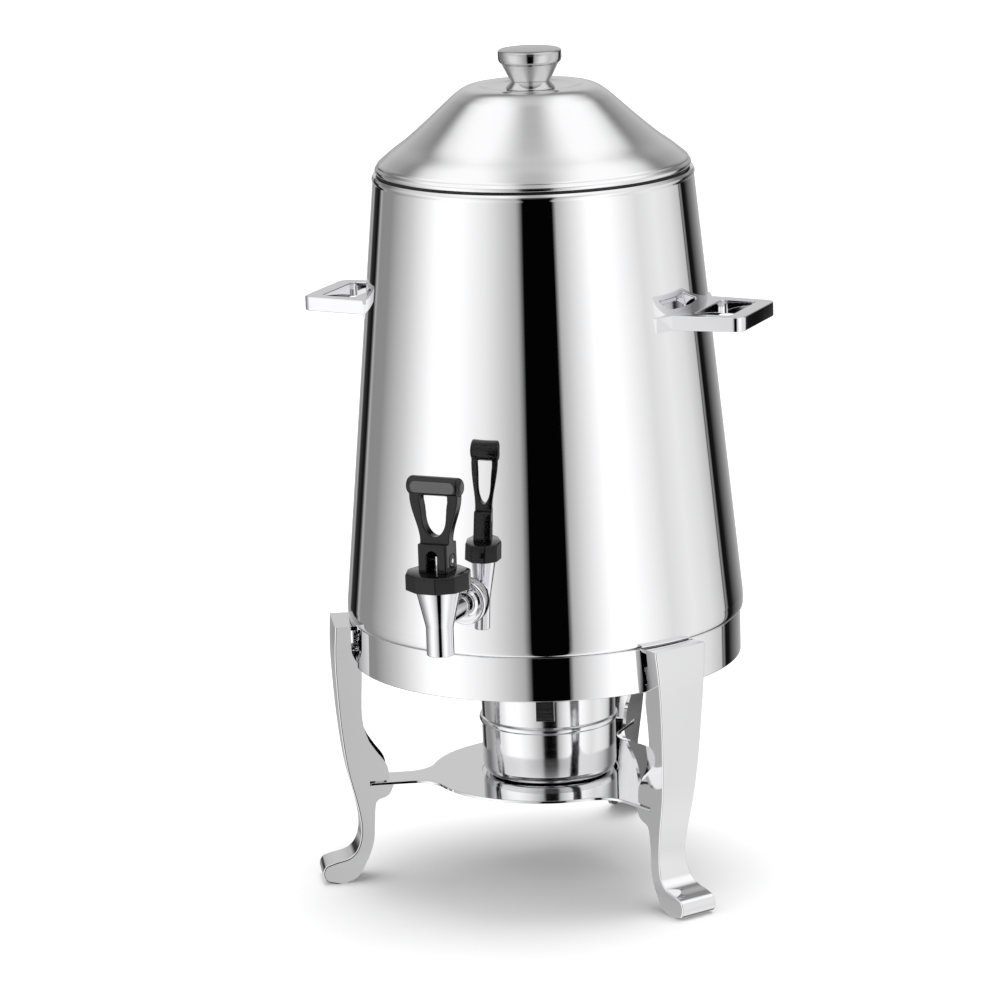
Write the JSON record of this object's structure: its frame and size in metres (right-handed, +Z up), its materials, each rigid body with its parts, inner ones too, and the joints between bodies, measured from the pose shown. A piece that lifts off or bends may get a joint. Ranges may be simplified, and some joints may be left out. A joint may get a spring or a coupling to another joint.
{
  "type": "coffee urn",
  "caption": "Tapered steel coffee urn with a lift-off lid, loop handles and a lever tap, on a three-legged stand with a fuel burner on a shelf.",
  "frame": {"origin": "on the floor, on the urn's upright axis, midway between the three legs", "axes": "+Z up; -Y towards the tap; +X towards the right-hand handle as seen from the tap side"},
  "size_m": [0.327, 0.3667, 0.5827],
  "materials": {
    "polished_steel": "mirror polished",
    "satin_steel": "satin",
    "chrome_plate": "polished plate",
    "black_plastic": "semi gloss",
    "silicone": "matt",
    "spring_wire": "drawn"
  },
  "bodies": {
    "stand": {"stand_ring": "polished_steel", "ring_ledge": "satin_steel", "leg_front_left": "polished_steel", "leg_front_right": "polished_steel", "leg_rear": "polished_steel", "leg_bolts": "satin_steel", "shelf_plate": "polished_steel"},
    "urn": {"body_shell": "polished_steel", "base_pan": "satin_steel", "handle_right": "chrome_plate", "handle_left": "chrome_plate", "handle_washers": "silicone", "handle_screws": "satin_steel", "tap_body": "chrome_plate", "tap_flange": "chrome_plate", "tap_gasket_outer": "silicone", "tap_gasket_inner": "silicone", "tap_shank_nut": "satin_steel", "tap_bonnet": "black_plastic", "tap_spring": "spring_wire"},
    "lid": {"lid_shell": "satin_steel", "lid_knob": "chrome_plate", "knob_washer": "satin_steel", "knob_screw": "satin_steel"},
    "stem": {"tap_stem": "satin_steel", "tap_seat_cup": "silicone"},
    "lever": {"tap_lever": "black_plastic", "lever_pin": "satin_steel"},
    "burner": {"burner_cup": "polished_steel"},
    "cover": {"burner_cover": "polished_steel", "damper_rivet": "satin_steel"},
    "damper": {"burner_damper": "satin_steel"}
  },
  "joints": [
    {"name": "urn_lift", "type": "slide", "parent": "stand", "child": "urn", "axis": [0, 0, 1], "range_m": [0, 0.06]},
    {"name": "lid_lift", "type": "slide", "parent": "urn", "child": "lid", "axis": [0, 0, 1], "range_m": [0, 0.08]},
    {"name": "stem_lift", "type": "slide", "parent": "urn", "child": "stem", "axis": [0, 0, 1], "range_m": [0, 0.0047], "deforming": ["tap_spring"]},
    {"name": "lever_tilt", "type": "hinge", "parent": "stem", "child": "lever", "pos_m": [0, -0.181, 0.2651], "axis": [1, 0, 0], "range_deg": [0, 28], "stiffness_Nm_per_rad": 0.2, "springref_deg": -28.65},
    {"name": "burner_lift", "type": "slide", "parent": "stand", "child": "burner", "axis": [0, 0, 1], "range_m": [0, 0.015]},
    {"name": "cover_lift", "type": "slide", "parent": "burner", "child": "cover", "axis": [0, 0, 1], "range_m": [0, 0.025]},
    {"name": "damper_swing", "type": "hinge", "parent": "cover", "child": "damper", "pos_m": [-0.01334, 0.03665, 0.1343], "axis": [0, 0, 1], "range_deg": [0, 100]}
  ],
  "couplings": [
    {"joint": "stem_lift", "follows": "lever_tilt", "m_per_rad": 0.0092}
  ]
}
